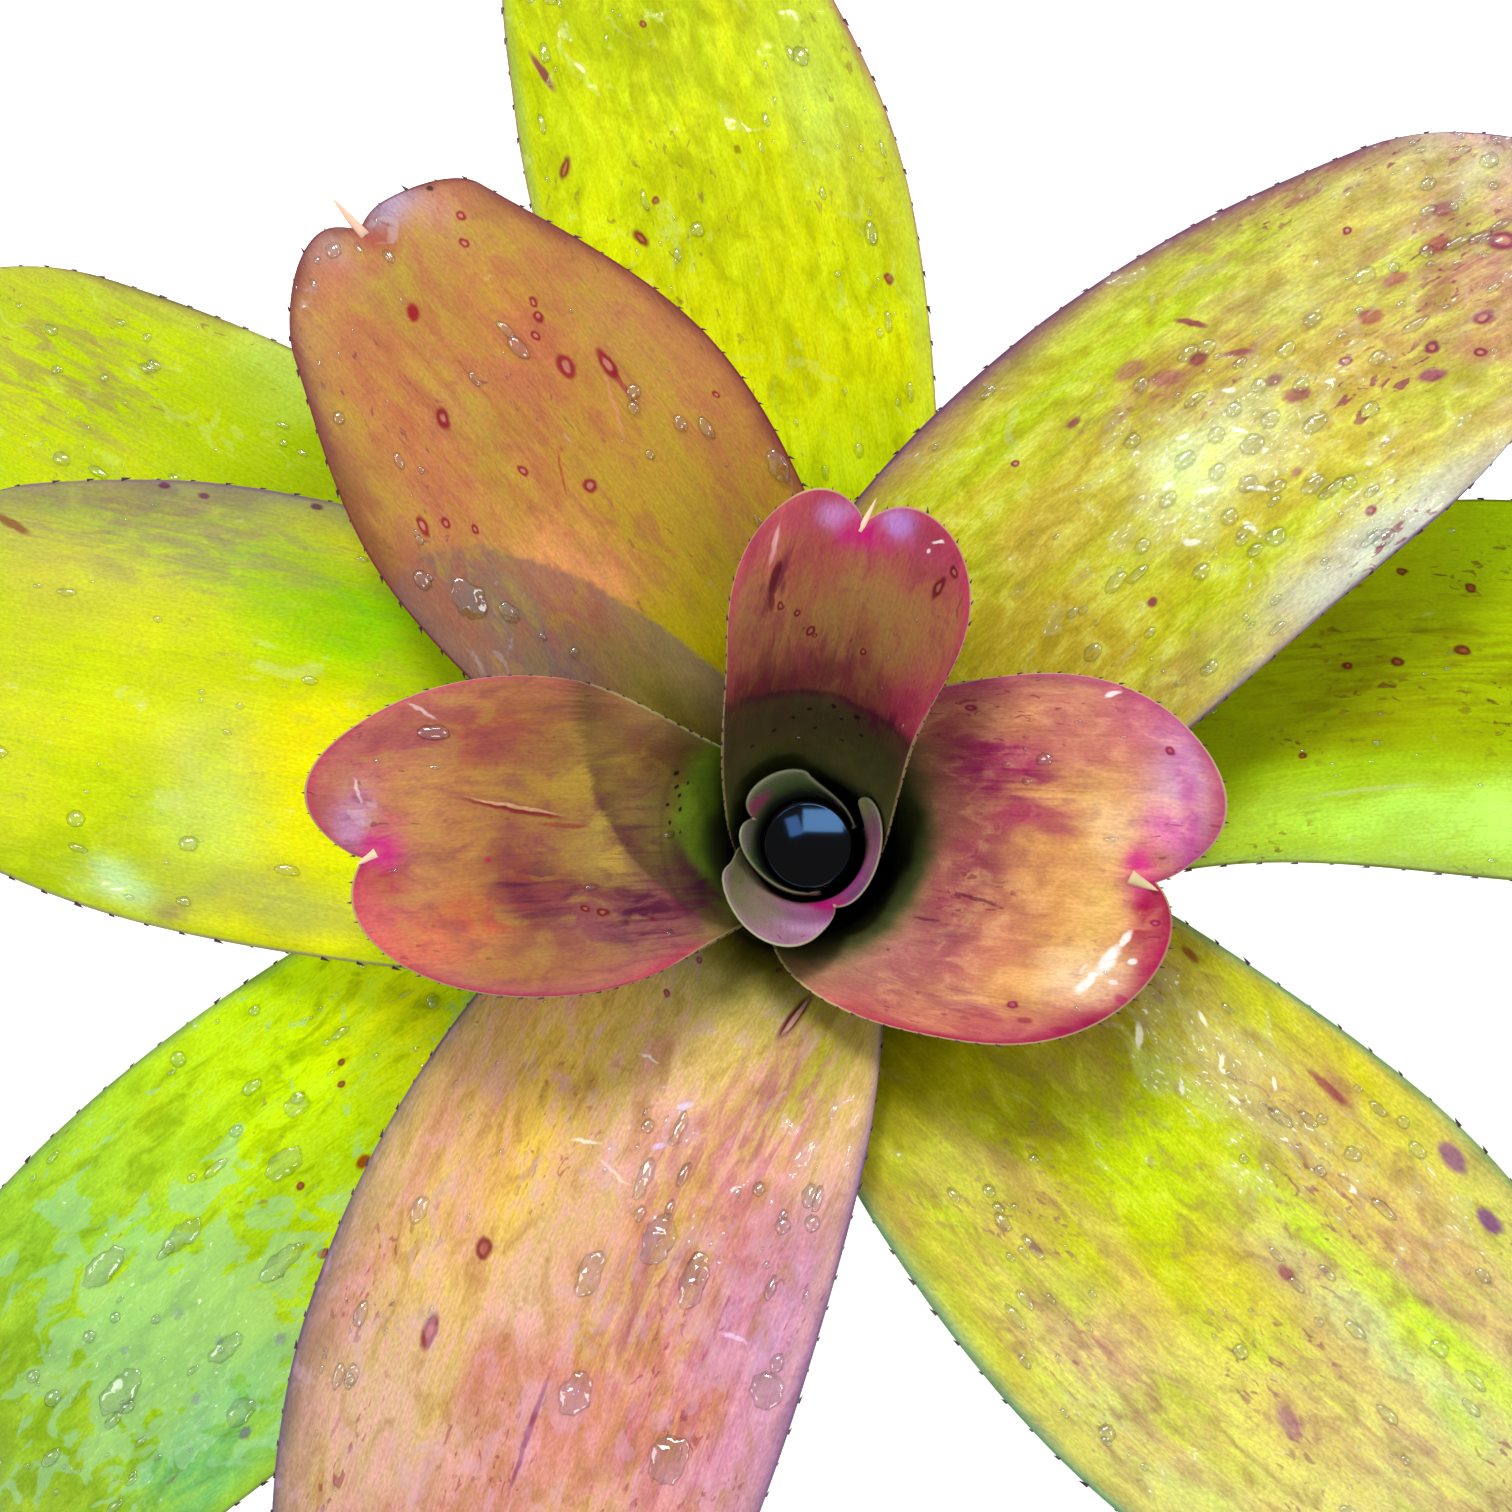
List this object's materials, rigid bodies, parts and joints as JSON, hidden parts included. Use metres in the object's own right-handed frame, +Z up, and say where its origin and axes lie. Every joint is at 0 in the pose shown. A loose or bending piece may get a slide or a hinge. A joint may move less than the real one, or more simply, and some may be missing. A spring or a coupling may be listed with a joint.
{
  "type": "neoregelia bromeliad",
  "caption": "Open bromeliad rosette of broad spined strap leaves, nested round a small cup of water on a short cut stem.",
  "frame": {"origin": "centre of the flat cut under the stem", "axes": "+Z up along the stem and the middle of the rosette, +Y towards the tallest heart leaf, +X to the right of it seen from above"},
  "size_m": [0.437, 0.4166, 0.1662],
  "materials": {
    "heart_leaf": "wet, glossy living leaf, rose red",
    "blushed_leaf": "wet, glossy living leaf, copper and olive",
    "green_leaf": "wet, glossy living leaf, yellow-green",
    "stem": "dry, matt plant stem with leaf scars",
    "tank_water": "still dark rainwater"
  },
  "bodies": {
    "root": {"stem": "stem", "tank_water": "tank_water", "leaf_01": "heart_leaf", "leaf_02": "heart_leaf", "leaf_03": "heart_leaf", "leaf_04": "heart_leaf", "leaf_05": "heart_leaf", "leaf_06": "blushed_leaf", "leaf_07": "blushed_leaf", "leaf_08": "blushed_leaf", "leaf_09": "green_leaf", "leaf_10": "green_leaf", "leaf_11": "green_leaf", "leaf_12": "green_leaf", "leaf_13": "green_leaf", "leaf_14": "green_leaf"}
  },
  "joints": []
}
